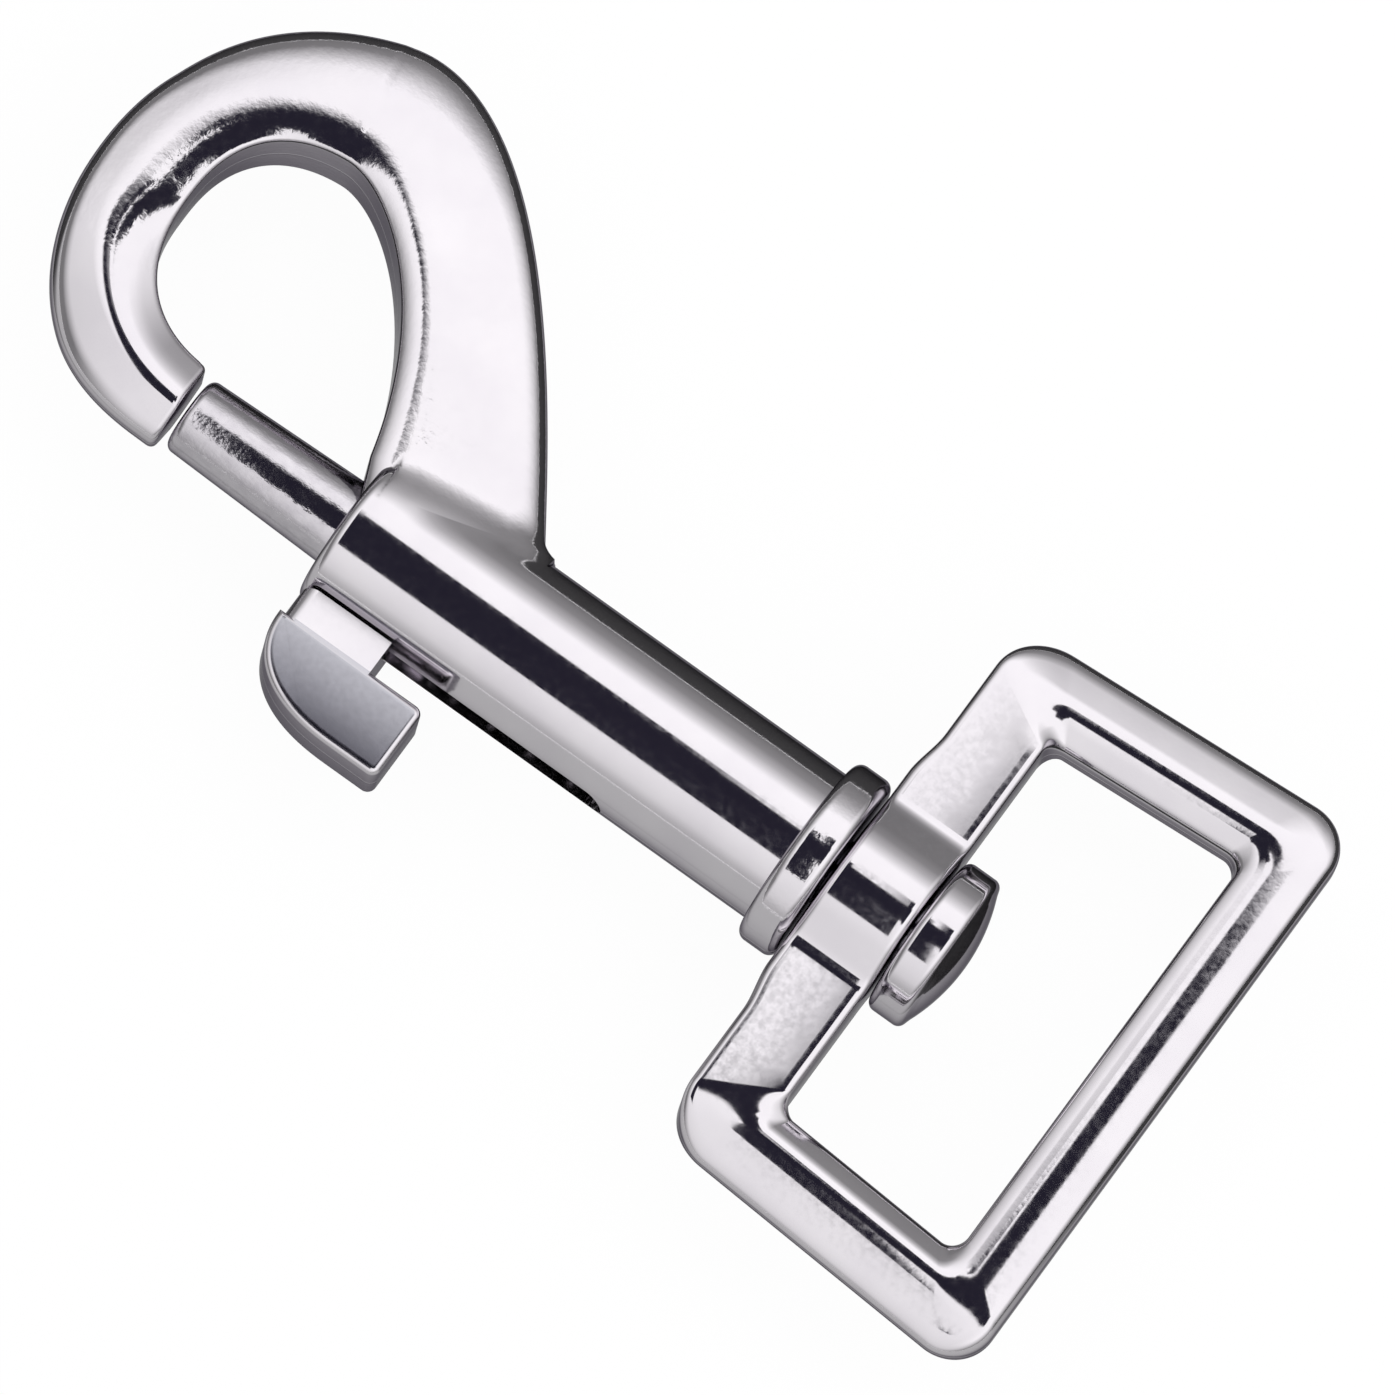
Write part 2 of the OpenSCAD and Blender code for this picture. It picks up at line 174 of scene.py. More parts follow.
def turned(name, outline, steps=160):
    """A piece turned about the X axis from its outline of (x, radius) points, closed at radius 0."""
    rings = [
        [(x, r * math.cos(2 * math.pi * j / steps), r * math.sin(2 * math.pi * j / steps)) for j in range(steps)]
        for x, r in outline
    ]
    return skin(name, rings, closed=outline[0][1] > 0)


def join(piece, tool, how):
    """Joins one solid to another, or cuts one with another, and throws the tool away."""
    step = piece.modifiers.new("join", "BOOLEAN")
    step.operation, step.solver, step.object = how, "EXACT", tool
    done = bpy.data.meshes.new_from_object(piece.evaluated_get(bpy.context.evaluated_depsgraph_get()))
    piece.modifiers.clear()
    piece.data = done
    bpy.data.objects.remove(tool)
    return piece


def stand_on_table(piece, sharp=38):
    """Moves the mesh from the drawing's zero to its place in the model, in metres, and smooths its
    shading except at edges over an angle."""
    piece.data.transform(Matrix.Scale(0.001, 4) @ Matrix.Translation(table_shift))
    piece.data.shade_smooth()
    piece.data.set_sharp_from_angle(angle=math.radians(sharp))


def edge_arc(mid, r, start, end, steps=12):
    """The points of an arc about a middle, from one angle to another."""
    return [tuple(np.array(mid) + polar(r, mix(start, end, i / steps))) for i in range(steps + 1)]


# Angles round the opening, in degrees: the hook's side lies between these two
side_end = 155
side_start = 230


def hole_at(a):
    """The distance from the middle of the opening to its edge."""
    rise = hole_rise if a < 180 else hole_r
    c, s = abs(math.cos(math.radians(a))), abs(math.sin(math.radians(a)))
    return ((c / hole_r) ** hole_square + (s / rise) ** hole_square) ** (-1 / hole_square)


def loop_w(a):
    """The hook's width at an angle round its opening."""
    if a > side_start:
        return mix(side_w, nose_w, ease((a - side_start) / (270 - side_start)))
    return mix(side_w, crown_w, (max(side_end - a, 0) / (side_end - crown_angle)) ** 1.4)


def loop_t(a):
    """The hook's thickness at an angle round its opening."""
    if a > 180:
        return mix(side_t, nose_t, ease((a - 180) / 90))
    return mix(side_t, crown_t, ease((180 - a) / (180 - crown_angle)))


def loop_in(a):
    return loop_mid + polar(hole_at(a), a)


def loop_out(a):
    return loop_mid + polar(hole_at(a) + loop_w(a), a)


fillet = 1.4
# Beyond this Y the fillet leaves the barrel's round and runs down at 45 degrees
fillet_leaves_y = 3.32
# The fillet rises over this length behind the mouth, and lies this deep under the barrel's surface
fillet_run = 0.8
fillet_sink = 0.015


def hook_ring(inner, outer, thick, ridge=2.4, land=0.55, rounding=0.3, shoulder=0.68, crest=(0.8, 0.5)):
    """The hook's section: a soft ridge near the opening and a wide, nearly flat outer face. Over the
    barrel it runs up to it in a soft fillet."""
    ring = bar_ring(inner, outer, thick, ridge, land, shoulder, ((0.1, 0.15), crest, (rounding, 0.8)))
    hugged = []
    for x, y, z in ring:
        barrel_z = math.sqrt((barrel_d / 2) ** 2 - min(y, fillet_leaves_y) ** 2) - max(y - fillet_leaves_y, 0)
        high = barrel_z * ease((x - mouth_x) / fillet_run) - fillet_sink
        if abs(z) > 0.3 * thick / 2:
            near = max(fillet - abs(abs(z) - high), 0) / fillet
            z = math.copysign(max(abs(z), high) + near * near * fillet / 4, z)
        hugged.append((x, y, z))
    return hugged


def sweep_curve(start, leave, end, arrive, handle_a, handle_b):
    """A curve's four points: it leaves along a unit vector and arrives at an angle, with handles that
    are shares of the distance between its ends."""
    reach = np.linalg.norm(end - start)
    return [start, start + handle_a * reach * leave, end - polar(handle_b * reach, arrive), end]


def bezier(p, t):
    return (1 - t) ** 3 * p[0] + 3 * (1 - t) ** 2 * t * p[1] + 3 * (1 - t) * t * t * p[2] + t**3 * p[3]


def heading(p, q):
    return (q - p) / np.linalg.norm(q - p)


nose_x = loop_mid[0] - nose_short
nose_y = loop_mid[1] - hole_r
nose_angle = 270 - math.degrees(math.asin((nose_short + nose_bevel) / hole_r)) - 2
limb_lip = 1
root_in = np.array([mouth_x - limb_lip, barrel_d / 2 - 1.4])
root_out = np.array([mouth_x + root_l, barrel_d / 2 + root_r * (1 - math.cos(math.radians(root_slant)))])
leave_in = heading(loop_in(crown_angle + 1), loop_in(crown_angle))
leave_out = heading(loop_out(crown_angle + 1), loop_out(crown_angle))
limb_in = sweep_curve(loop_in(crown_angle), leave_in, root_in, -76, 0.157, 0.552)
limb_out = sweep_curve(loop_out(crown_angle), leave_out, root_out, -root_slant, 0.312, 0.25)
fillet_mid = root_out + polar(root_r, 90 - root_slant)


def blend(p, q, t):
    return [mix(a, b, t) for a, b in zip(p, q)]


# The section at the crown, the side, the nose and the limb's foot: the ridge's distance from the inner
# edge (mm), the land, how far the outer edge is rounded, the shoulder, and the two cuts of the crest
crown_ridge, side_ridge, limb_ridge = 1.8, 2.4, 1.0
crown_land, side_land = 0.8, 0.55
crown_rounding, side_rounding, limb_rounding = 0.52, 0.3, 0.25
side_shoulder, nose_shoulder, limb_shoulder = 0.68, 0.4, 0.62
crown_crest, nose_crest, limb_crest = (0.8, 0.45), (0.6, 0.22), (0.8, 0.2)
nose_steps, loop_steps, limb_steps, root_steps = 6, 110, 70, 30

hook_rings = []
for i in range(nose_steps + 1):
    # The nose's flat end and its rounded rim
    a = math.radians(90 * i / nose_steps)
    inset = nose_bevel * (1 - math.sin(a))
    x = nose_x - nose_bevel * (1 - math.cos(a))
    hook_rings.append(
        hook_ring(
            (x, nose_y - inset), (x, nose_y - nose_w + inset), nose_t - 2 * inset,
            side_ridge, side_land, side_rounding, nose_shoulder, nose_crest,
        )
    )
for i in range(loop_steps + 1):
    a = mix(nose_angle, crown_angle, i / loop_steps)
    ridge = mix(crown_ridge, side_ridge, ease((a - crown_angle) / 90))
    land = mix(crown_land, side_land, ease((a - 180) / 30))
    rounding = mix(crown_rounding, side_rounding, ease((a - 120) / 60))
    # Towards the nose the outer face leans more and the ridge grows crisper
    tip = ease((a - 190) / 50)
    shoulder = mix(side_shoulder, nose_shoulder, tip)
    crest = blend(crown_crest, nose_crest, tip)
    hook_rings.append(hook_ring(loop_in(a), loop_out(a), loop_t(a), ridge, land, rounding, shoulder, crest))
for i in range(1, limb_steps + 1):
    # Down the limb the ridge draws in to the edge of the opening
    t = i / limb_steps
    ridge = mix(crown_ridge, limb_ridge, ease(i / 30))
    rounding = mix(crown_rounding, limb_rounding, ease(i / 35))
    crest = blend(crown_crest, limb_crest, ease(i / 30))
    inner, outer = bezier(limb_in, t), bezier(limb_out, t)
    hook_rings.append(hook_ring(inner, outer, crown_t, ridge, crown_land, rounding, limb_shoulder, crest))
for i in range(1, root_steps + 1):
    # Then it sinks into the barrel, with its outer edge in the fillet behind the root
    t = i / root_steps
    inner = root_in + t * np.array([limb_lip, -2.4])
    outer = fillet_mid + polar(root_r, mix(270 - root_slant, 262, t))
    thick = mix(crown_t, barrel_d * 0.8, ease(t))
    hook_rings.append(
        hook_ring(inner, outer, thick, limb_ridge, crown_land, limb_rounding, limb_shoulder, limb_crest)
    )
hook_rings.append(hook_ring((mouth_x + 1, 0.4), (root_out[0], 0.4), barrel_d * 0.7, limb_ridge, crown_land))
hook = skin("plated_hook", hook_rings)

r = barrel_d / 2
# Under the limb the barrel has a ring every 0.25 mm, so that its shading can be softened there
barrel = turned(
    "barrel",
    [(0, 0), (0, r)]
    + [(x, r) for x in np.arange(mouth_x + root_l + 4, mouth_x + mouth_r + 0.1, -0.25)]
    + edge_arc((mouth_x + mouth_r, r - mouth_r), mouth_r, 90, 180)
    + [(mouth_x, 0)],
)
join(hook, barrel, "UNION")
join(hook, turned("bore", [(shoulder_x, 0), (shoulder_x, bore_d / 2), (1, bore_d / 2), (1, 0)]), "DIFFERENCE")
# Small overlap that makes a cut or a union clean, and how far a cut runs out in front of the mouth
overlap = 0.02
run_out_x = mouth_x - 9
mouth_hole_r = bolt_d / 2 + running_gap
mouth_hole_end = shoulder_x + overlap
mouth_hole = [(run_out_x, 0), (run_out_x, mouth_hole_r), (mouth_hole_end, mouth_hole_r), (mouth_hole_end, 0)]
join(hook, turned("mouth_hole", mouth_hole), "DIFFERENCE")

neck_l = 5.6
bolt_travel = 14.2
neck_x = mouth_x + 2 * face_gap
neck_end_x = neck_x + neck_l
slot_end_x = neck_end_x + bolt_travel
slot_round_x = slot_end_x - slot_w / 2
slot_round = edge_arc((slot_round_x, 0), slot_w / 2, -90, 90, 24)
slot_side = [(shoulder_x, -slot_w / 2)] + slot_round + [(shoulder_x, slot_w / 2)]
slot_rings = [[(x, y, z) for x, z in slot_side] for y in (-barrel_d, 0)]
join(hook, skin("slot", slot_rings), "DIFFERENCE")
close_up(hook)
stand_on_table(hook)


def soften_root(piece, reach):
    """Averages the shading within a reach (mm) round each point where the hook flows into the barrel:
    the casting has a fillet there and no edge. Faces that point more than 60 degrees away are left
    out, and the sides of the slot and the opening lie outside the box that it works in."""
    mesh = piece.data
    scale = 1000
    faces = [f for f in mesh.polygons if (f.center * scale - table_shift).y > 0]
    middles = KDTree(len(faces))
    for i, f in enumerate(faces):
        middles.insert(f.center * scale - table_shift, i)
    middles.balance()
    soft = {}
    for v in mesh.vertices:
        at = v.co * scale - table_shift
        if not (mouth_x + 0.7 < at.x < mouth_x + root_l + 3.5 and 0.3 < at.y < 7 and abs(at.z) > 1.2):
            continue
        total = Vector((0, 0, 0))
        for _, i, gap in middles.find_range(at, reach):
            share = max(faces[i].normal.dot(v.normal) - 0.5, 0) * (1 - (gap / reach) ** 2) ** 2
            total += faces[i].normal * faces[i].area * share
        if total.length > 0:
            soft[v.index] = total.normalized()
    mesh.normals_split_custom_set([soft.get(c.vertex_index, mesh.corner_normals[c.index].vector) for c in mesh.loops])


soften_root(hook, 1.3)


def linear(hex_colour):
    """sRGB hex to linear colour."""
    parts = [int(hex_colour[i : i + 2], 16) / 255 for i in (1, 3, 5)]
    return tuple(v / 12.92 if v <= 0.04045 else ((v + 0.055) / 1.055) ** 2.4 for v in parts) + (1,)


def add(tree, kind, links=None, values=None, **settings):
    """Adds one node with its settings, socket values and incoming links, and returns it."""
    made = tree.nodes.new(kind)
    for key, value in settings.items():
        setattr(made, key, value)
    for key, value in (values or {}).items():
        made.inputs[key].default_value = value
    for key, source in (links or {}).items():
        tree.links.new(source, made.inputs[key])
    return made


def new_finish(name, roughness):
    """A metal material and its tree, its shader and the piece's own coordinates."""
    finish = bpy.data.materials.new(name)
    finish.use_nodes = True
    tree = finish.node_tree
    tree.nodes.clear()
    metal = add(tree, "ShaderNodeBsdfPrincipled", values={"Metallic": 1.0, "Roughness": roughness})
    add(tree, "ShaderNodeOutputMaterial", links={"Surface": metal.outputs["BSDF"]})
    place = add(tree, "ShaderNodeTexCoord").outputs["Object"]
    return finish, tree, metal, place


def bright_nickel(name, grain_share=1.0, seam=True, gloss_range=(0.05, 0.12), grain_from=None):
    """Bright nickel on tumbled zinc: a mirror that shows the casting's shallow waves, 3 mm across, and
    a grain of 0.35 mm that breaks up the edges of what it mirrors. The barrel is ground smooth first,
    so it has no grain, and a piece ground at its near end has grain only from a place along X (mm). At
    the middle height is the fine line where the two halves of the die met."""
    finish, tree, metal, place = new_finish(name, 0.07)
    metal.inputs["Specular Tint"].default_value = linear("#87848C")
    waves = add(tree, "ShaderNodeTexNoise", {"Vector": place}, {"Scale": 330, "Detail": 1.5, "Roughness": 0.45})
    grain = add(tree, "ShaderNodeTexNoise", {"Vector": place}, {"Scale": 2800, "Detail": 2.5, "Roughness": 0.55})
    cloud = add(tree, "ShaderNodeTexNoise", {"Vector": place}, {"Scale": 190, "Detail": 3, "Roughness": 0.6})
    colour = add(tree, "ShaderNodeMix", {"Factor": cloud.outputs["Fac"]}, data_type="RGBA")
    colour.inputs["A"].default_value = linear("#F8F5F8")
    colour.inputs["B"].default_value = linear("#E6E2E8")
    tree.links.new(colour.outputs["Result"], metal.inputs["Base Color"])
    gloss = add(
        tree, "ShaderNodeMapRange", {"Value": grain.outputs["Fac"]},
        {"From Min": 0.3, "From Max": 0.7, "To Min": gloss_range[0], "To Max": gloss_range[1]},
    )
    tree.links.new(gloss.outputs["Result"], metal.inputs["Roughness"])
    from_axis = add(
        tree, "ShaderNodeVectorMath", {0: place}, {1: (0, table_shift.y / 1000, table_shift.z / 1000)},
        operation="SUBTRACT",
    )
    across = add(tree, "ShaderNodeVectorMath", {0: from_axis.outputs[0]}, {1: (0, 1, 1)}, operation="MULTIPLY")
    radius = add(tree, "ShaderNodeVectorMath", {0: across.outputs[0]}, operation="LENGTH")
    rough_cast = add(
        tree, "ShaderNodeMapRange", {"Value": radius.outputs["Value"]},
        {"From Min": 0.00475, "From Max": 0.0051, "To Min": 0.0, "To Max": grain_share},
    )
    swell = add(
        tree, "ShaderNodeBump", {"Height": waves.outputs["Fac"], "Strength": rough_cast.outputs["Result"]},
        {"Distance": 0.00003},
    )
    off = add(tree, "ShaderNodeSeparateXYZ", {"Vector": from_axis.outputs[0]})
    graininess = rough_cast
    if grain_from is not None:
        start = (grain_from + table_shift.x) / 1000
        graininess = add(
            tree, "ShaderNodeMapRange", {"Value": off.outputs["X"], "To Max": rough_cast.outputs["Result"]},
            {"From Min": start, "From Max": start + 0.0015, "To Min": 0.0},
        )
    grained = add(
        tree, "ShaderNodeBump",
        {"Height": grain.outputs["Fac"], "Normal": swell.outputs["Normal"], "Strength": graininess.outputs["Result"]},
        {"Distance": 0.000008},
    )
    last = grained
    if seam:
        away = add(tree, "ShaderNodeMath", {0: off.outputs["Z"]}, operation="ABSOLUTE")
        line = add(
            tree, "ShaderNodeMapRange", {"Value": away.outputs[0]},
            {"From Min": 0.00003, "From Max": 0.0001, "To Min": 1, "To Max": 0},
        )
        last = add(
            tree, "ShaderNodeBump", {"Height": line.outputs["Result"], "Normal": grained.outputs["Normal"]},
            {"Strength": 1.0, "Distance": 0.00002},
        )
    tree.links.new(last.outputs["Normal"], metal.inputs["Normal"])
    return finish


cast_nickel = bright_nickel("bright_nickel_on_cast_zinc")


def dress(piece, body, slot, finish, *nodes):
    """Gives a piece its finish and its body, and hides the CAD nodes that it stands for. The slot is not used."""
    piece.data.materials.clear()
    piece.data.materials.append(finish)
    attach(piece, body)
    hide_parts(*nodes)


dress(hook, "hook", "plated_zinc", cast_nickel, "hook_body")

# Bolt
# The sliding plunger, a turned steel pin: a tapered tip with a bevel, a thick guide that runs in the
# bore, and a peg for the spring. It is tumbled and plated, and stays rougher than the casting.

nose_gap = 0.45
guide_l = 6.2
bolt_bevel = 0.5
peg_r = 1.9
peg_l = 2
tip_x = nose_x + nose_gap
guide_x = shoulder_x + guide_l
tip_r = 2.25
guide_r = bore_d / 2 - running_gap
bolt = turned(
    "plated_bolt",
    [(tip_x, 0), (tip_x, tip_r - bolt_bevel)]
    + edge_arc((tip_x + bolt_bevel, tip_r - bolt_bevel), bolt_bevel, 175, 95, 8)
    + [
        (mouth_x - face_gap, bolt_d / 2),
        (shoulder_x + overlap, bolt_d / 2),
        (shoulder_x + overlap, guide_r),
        (guide_x, guide_r),
        (guide_x, peg_r),
        (guide_x + peg_l, peg_r),
        (guide_x + peg_l, 0),
    ],
)
stand_on_table(bolt)

bolt_finish, tree, metal, place = new_finish("dull_nickel_on_turned_steel", 0.1)
metal.inputs["Specular Tint"].default_value = linear("#87848C")
# Faint turning marks run round the pin, under a plating with pits of 0.3 to 0.5 mm, drawn out along it
marks = add(
    tree, "ShaderNodeTexWave", {"Vector": place},
    {"Scale": 900, "Distortion": 6, "Detail": 3, "Detail Scale": 2},
)
drawn_out = add(tree, "ShaderNodeMapping", {"Vector": place}, {"Scale": (0.55, 1, 1)})
cloud = add(
    tree, "ShaderNodeTexNoise", {"Vector": drawn_out.outputs[0]},
    {"Scale": 2000, "Detail": 3.5, "Roughness": 0.65},
)
colour = add(tree, "ShaderNodeMix", {"Factor": cloud.outputs["Fac"]}, data_type="RGBA")
colour.inputs["A"].default_value = linear("#F2EFF3")
colour.inputs["B"].default_value = linear("#CBC7CE")
tree.links.new(colour.outputs["Result"], metal.inputs["Base Color"])
gloss = add(
    tree, "ShaderNodeMapRange", {"Value": cloud.outputs["Fac"]},
    {"From Min": 0.3, "From Max": 0.7, "To Min": 0.06, "To Max": 0.14},
)
tree.links.new(gloss.outputs["Result"], metal.inputs["Roughness"])
turning = add(tree, "ShaderNodeBump", {"Height": marks.outputs["Fac"]}, {"Strength": 1.0, "Distance": 0.0000007})
pits = add(
    tree, "ShaderNodeBump", {"Height": cloud.outputs["Fac"], "Normal": turning.outputs["Normal"]},
    {"Strength": 1.0, "Distance": 0.000018},
)
tree.links.new(pits.outputs["Normal"], metal.inputs["Normal"])
dress(bolt, "bolt", "plated_bolt", bolt_finish, "bolt")

# Thumb tab
# The D-shaped tab that the thumb pulls, cast in zinc with its neck and its tongue, which runs in the
# barrel's slot. Its stem is pressed into the bolt. The edges have a narrow bevel.

tab_l = 9.5
tab_h = 4.6
tab_t = 4.6
tab_bevel = 0.4
tab_corner_r = 0.55
tab_square = 2.4
tab_sweep_l = tab_l * 0.7
neck_h = 1.6
neck_t = 4.4
neck_front_r = 0.9
stem_r = 0.9
tab_y = -barrel_d / 2 - neck_h
back = mouth_x + tab_l
bottom = tab_y - tab_h


def tab_outline(inset):
    """The tab's outline, drawn in by an inset along its own normals."""
    points = []
    for i in range(49):
        a = math.radians(90 * i / 48)
        c, s = math.cos(a) ** (2 / tab_square), math.sin(a) ** (2 / tab_square)
        points.append((mouth_x + tab_sweep_l * (1 - c), tab_y - tab_h * s))
    points += edge_arc((back - tab_corner_r, bottom + tab_corner_r), tab_corner_r, 270, 360, 10)
    points += edge_arc((back - tab_corner_r, tab_y - tab_corner_r), tab_corner_r, 0, 90, 10)
    points = np.array(points)
    ahead = np.roll(points, -1, axis=0) - points
    ahead /= np.maximum(np.linalg.norm(ahead, axis=1, keepdims=True), 1e-9)
    behind = np.roll(ahead, 1, axis=0)
    inward = np.stack([-(ahead + behind)[:, 1], (ahead + behind)[:, 0]], axis=1)
    inward /= np.maximum(np.linalg.norm(inward, axis=1, keepdims=True), 1e-9)
    return points + inset * inward


def swelling(s):
    """How far the faces swell, at a share of the way out, as a share of half the thickness."""
    return (0.052 * s - 0.033 * s * s) * 2 * tab_h / tab_t


# The rim's quarter round from one face down to the edge: how far it lies below the face, and inside
# the outline. A narrow band inside it keeps the face's shading flat.
rim = [
    (tab_bevel * (1 - math.cos(a)), tab_bevel * (1 - math.sin(a)))
    for a in np.radians([12, 30, 45, 60, 78, 90])
]
face_band = 0.12
tab_rings = []
for height, inset in (
    [(-tab_t / 2, tab_bevel + face_band), (-tab_t / 2, tab_bevel)]
    + [(-tab_t / 2 + below, inside) for below, inside in rim]
    + [(tab_t / 2 - below, inside) for below, inside in reversed(rim)]
    + [(tab_t / 2, tab_bevel), (tab_t / 2, tab_bevel + face_band)]
):
    # Both faces swell by 0.09 mm towards the outer edge, which the thumb pulls on
    tab_rings.append([(x, y, height * (0.959 + swelling((tab_y - y) / tab_h))) for x, y in tab_outline(inset)])
tab = skin("plated_thumb_tab", tab_rings)

neck_front_x = neck_x + neck_front_r
neck_front_z = neck_t / 2 - neck_front_r
neck_side = (
    [(neck_end_x, neck_t / 2)]
    + edge_arc((neck_front_x, neck_front_z), neck_front_r, 90, 180, 10)
    + edge_arc((neck_front_x, -neck_front_z), neck_front_r, 180, 270, 10)
    + [(neck_end_x, -neck_t / 2)]
)
neck = skin("neck", [[(x, y, z) for x, z in neck_side] for y in (tab_y - 0.4, -0.4)])
wrap_r = barrel_d / 2 + face_gap
join(neck, turned("wrap", [(run_out_x, 0), (run_out_x, wrap_r), (0, wrap_r), (0, 0)]), "DIFFERENCE")
join(tab, neck, "UNION")
tongue_w = slot_w - 2 * face_gap
tongue_x = shoulder_x + face_gap
tongue_round = edge_arc((neck_end_x - face_gap - tongue_w / 2, 0), tongue_w / 2, -90, 90, 16)
tongue_side = [(tongue_x, -tongue_w / 2)] + tongue_round + [(tongue_x, tongue_w / 2)]
tongue = skin("tongue", [[(x, y, z) for x, z in tongue_side] for y in (tab_y, -2.9)])
join(tongue, turned("bore_way", [(mouth_x, 0), (mouth_x, bore_d / 2), (0, bore_d / 2), (0, 0)]), "DIFFERENCE")
join(tab, tongue, "UNION")
stem_x = (tongue_x + neck_end_x - face_gap) / 2
stem_angles = np.linspace(0, 2 * math.pi, 48, endpoint=False)
stem_ring = [(stem_x + stem_r * math.cos(a), stem_r * math.sin(a)) for a in stem_angles]
join(tab, skin("stem", [[(x, y, z) for x, z in stem_ring] for y in (-barrel_d / 2, -face_gap)]), "UNION")
close_up(tab)
stand_on_table(tab, sharp=25)
tab_nickel_with_painted_shade = bright_nickel("satin_nickel_on_polished_zinc_with_painted_shade", grain_share=0.1, gloss_range=(0.15, 0.2))
# The tab's faces are painted darker than its neck and its rim, most towards the outer edge: painted shade, set by the
# surface's own direction and place on the tab
tree = tab_nickel_with_painted_shade.node_tree
metal = tree.nodes["Principled BSDF"]
on_tab = add(tree, "ShaderNodeTexCoord").outputs
facing = add(tree, "ShaderNodeSeparateXYZ", {"Vector": on_tab["Normal"]})
flatness = add(tree, "ShaderNodeMath", {0: facing.outputs["Z"]}, operation="ABSOLUTE")
on_face = add(
    tree, "ShaderNodeMapRange", {"Value": flatness.outputs[0]},
    {"From Min": 0.95, "From Max": 0.99, "To Min": 0, "To Max": 1},
)
away = add(tree, "ShaderNodeSeparateXYZ", {"Vector": on_tab["Object"]})
edge_y = (tab_y + table_shift.y) / 1000
past_neck = add(tree, "ShaderNodeMath", {0: away.outputs["Y"]}, {1: edge_y}, operation="LESS_THAN")
painted_shade_mask = add(tree, "ShaderNodeMath", {0: on_face.outputs["Result"], 1: past_neck.outputs[0]}, operation="MULTIPLY")
outward = add(
    tree, "ShaderNodeMapRange", {"Value": away.outputs["Y"]},
    {"From Min": edge_y, "From Max": edge_y - tab_h / 1000, "To Min": 0, "To Max": 1},
)
# Painted shade: the faces' colour goes from light grey to dark lilac grey towards the outer edge
painted_shade_tone = add(tree, "ShaderNodeMix", {"Factor": outward.outputs["Result"]}, data_type="RGBA")
painted_shade_tone.inputs["A"].default_value = linear("#C6C6CD")
painted_shade_tone.inputs["B"].default_value = linear("#7F7E89")
colour_with_painted_shade = add(tree, "ShaderNodeMix", {"Factor": painted_shade_mask.outputs[0]}, data_type="RGBA")
tree.links.new(metal.inputs["Base Color"].links[0].from_socket, colour_with_painted_shade.inputs["A"])
tree.links.new(painted_shade_tone.outputs["Result"], colour_with_painted_shade.inputs["B"])
tree.links.new(colour_with_painted_shade.outputs["Result"], metal.inputs["Base Color"])
dress(tab, "bolt", "plated_zinc", tab_nickel_with_painted_shade, "thumb_tab")

# Bolt spring
# A compression spring of drawn steel wire in the barrel, between the bolt's guide and the collar's
# plug. The turns at both ends lie close together. It shows only through the slot.

plug_x = -3.5
spring_len = plug_x - guide_x - 2 * overlap

coil = bpy.data.node_groups.new("compression_spring", "GeometryNodeTree")
coil.interface.new_socket("Geometry", in_out="OUTPUT", socket_type="NodeSocketGeometry")
spring_sizes = [("Wire diameter", 0.45), ("Outside diameter", 5.7), ("Length", spring_len), ("Turns", 9.0)]
for title, value in spring_sizes:
    coil.interface.new_socket(title, in_out="INPUT", socket_type="NodeSocketFloat").default_value = value
coil.interface.new_socket("Finish", in_out="INPUT", socket_type="NodeSocketMaterial")
given = add(coil, "NodeGroupInput").outputs


def figure(how, a, b=None):
    """One sum in the spring's tree, of sockets or numbers."""
    made = coil.nodes.new("ShaderNodeMath")
    made.operation = how
    for at, part in enumerate((a, b)):
        if isinstance(part, (int, float)):
            made.inputs[at].default_value = part
        elif part is not None:
            coil.links.new(part, made.inputs[at])
    return made.outputs[0]


steps_a_turn = 40
count = figure("ADD", figure("MULTIPLY", given["Turns"], steps_a_turn), 1)
line = add(coil, "GeometryNodeMeshLine", {"Count": count})
share = figure("DIVIDE", add(coil, "GeometryNodeInputIndex").outputs[0], figure("SUBTRACT", count, 1))
end_share = figure("DIVIDE", 1, given["Turns"])
near_end = figure("MINIMUM", share, end_share)
far_end = figure("MAXIMUM", figure("SUBTRACT", share, figure("SUBTRACT", 1, end_share)), 0)
between = figure("SUBTRACT", figure("SUBTRACT", share, near_end), far_end)
free_len = figure("SUBTRACT", given["Length"], figure("MULTIPLY", given["Wire diameter"], 3))
closed_turns = figure("MULTIPLY", figure("ADD", near_end, far_end), given["Turns"])
closed_climb = figure("MULTIPLY", closed_turns, given["Wire diameter"])
free_share = figure("SUBTRACT", 1, figure("MULTIPLY", end_share, 2))
free_climb = figure("DIVIDE", figure("MULTIPLY", between, free_len), free_share)
wire_r = figure("MULTIPLY", given["Wire diameter"], 0.5)
climb = figure("ADD", figure("ADD", closed_climb, free_climb), wire_r)
coil_r = figure("MULTIPLY", figure("SUBTRACT", given["Outside diameter"], given["Wire diameter"]), 0.5)
angle = figure("MULTIPLY", figure("MULTIPLY", share, given["Turns"]), 2 * math.pi)
coil_y = figure("MULTIPLY", coil_r, figure("COSINE", angle))
coil_z = figure("MULTIPLY", coil_r, figure("SINE", angle))
spot = add(coil, "ShaderNodeCombineXYZ", {"X": climb, "Y": coil_y, "Z": coil_z})
helix = add(coil, "GeometryNodeSetPosition", {"Geometry": line.outputs[0], "Position": spot.outputs[0]})
path = add(coil, "GeometryNodeMeshToCurve", {"Mesh": helix.outputs[0]})
round_wire = add(coil, "GeometryNodeCurvePrimitiveCircle", {"Radius": wire_r}, {"Resolution": 14})
